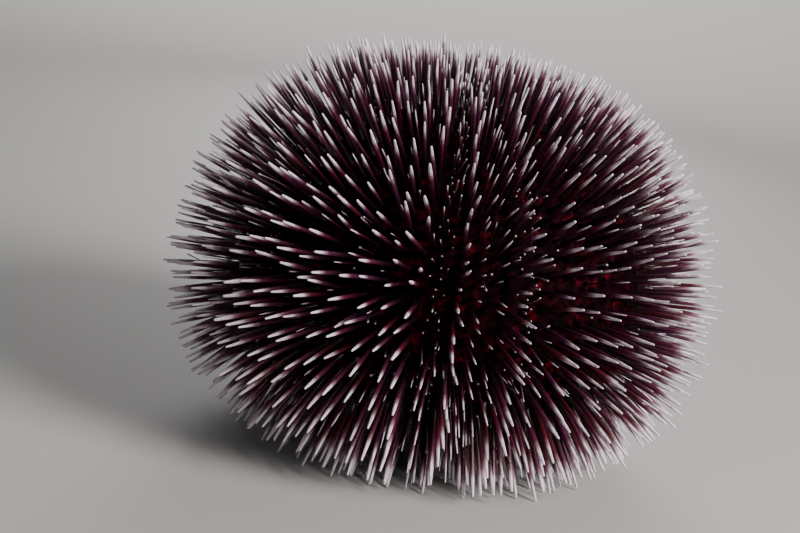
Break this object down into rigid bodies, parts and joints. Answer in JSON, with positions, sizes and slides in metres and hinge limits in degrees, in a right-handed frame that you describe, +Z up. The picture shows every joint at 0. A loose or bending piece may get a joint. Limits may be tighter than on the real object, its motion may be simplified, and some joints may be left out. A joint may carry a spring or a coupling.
{
  "type": "sea urchin",
  "caption": "Violet sea urchin with a low round shell thick with blunt white-tipped spines, a mouth with teeth beneath, resting on its lowest spines as a still natural history model",
  "frame": {"origin": "centre of the overall box, on the floor under the lowest spine tips", "axes": "+Z up along the shell's axis from mouth to top, -Y toward the pictured side, +X to the right as that side is faced; the middle of the narrow sector numbered 1 lies 9 degrees from -Y toward +X"},
  "size_m": [0.1502, 0.1508, 0.1089],
  "materials": {
    "disc_plates": "satin",
    "narrow_sector_skin": "satin",
    "wide_sector_skin": "satin",
    "mouth_membrane_skin": "satin",
    "tooth_white": "satin"
  },
  "bodies": {
    "root": {"apical_disc": "disc_plates", "ambulacrum_1": "narrow_sector_skin", "ambulacrum_2": "narrow_sector_skin", "ambulacrum_3": "narrow_sector_skin", "ambulacrum_4": "narrow_sector_skin", "ambulacrum_5": "narrow_sector_skin", "interambulacrum_1": "wide_sector_skin", "interambulacrum_2": "wide_sector_skin", "interambulacrum_3": "wide_sector_skin", "interambulacrum_4": "wide_sector_skin", "interambulacrum_5": "wide_sector_skin", "peristome": "mouth_membrane_skin", "tooth_1": "tooth_white", "tooth_2": "tooth_white", "tooth_3": "tooth_white", "tooth_4": "tooth_white", "tooth_5": "tooth_white"}
  },
  "joints": []
}
